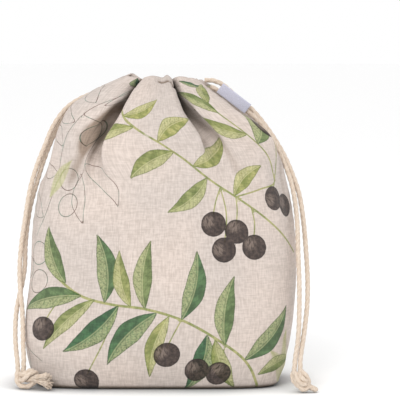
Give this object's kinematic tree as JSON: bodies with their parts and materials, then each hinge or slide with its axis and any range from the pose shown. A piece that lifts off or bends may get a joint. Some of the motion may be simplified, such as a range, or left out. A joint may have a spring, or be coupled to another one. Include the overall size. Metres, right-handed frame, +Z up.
{
  "type": "linen bread bag",
  "caption": "Drawstring bread bag of printed linen, standing filled, with its neck drawn in by cotton cords, knots in their ends and a blank label in the side seam.",
  "frame": {"origin": "middle of the bag's base on the surface it stands on", "axes": "+Z up to the mouth, -Y out of the printed front, +X to the side with the label"},
  "size_m": [0.3061, 0.1652, 0.312],
  "materials": {
    "linen": "plain weave with slubs, printed with leaves and berries, matt",
    "cotton_cord": "twisted, matt",
    "woven_label": "fine weave, blank"
  },
  "bodies": {
    "root": {"front_panel": "linen", "back_panel": "linen", "cord_left_front": "cotton_cord", "cord_left_back": "cotton_cord", "cord_right_back": "cotton_cord", "cord_right_front": "cotton_cord", "knot_left": "cotton_cord", "knot_right": "cotton_cord", "label": "woven_label"}
  },
  "joints": []
}
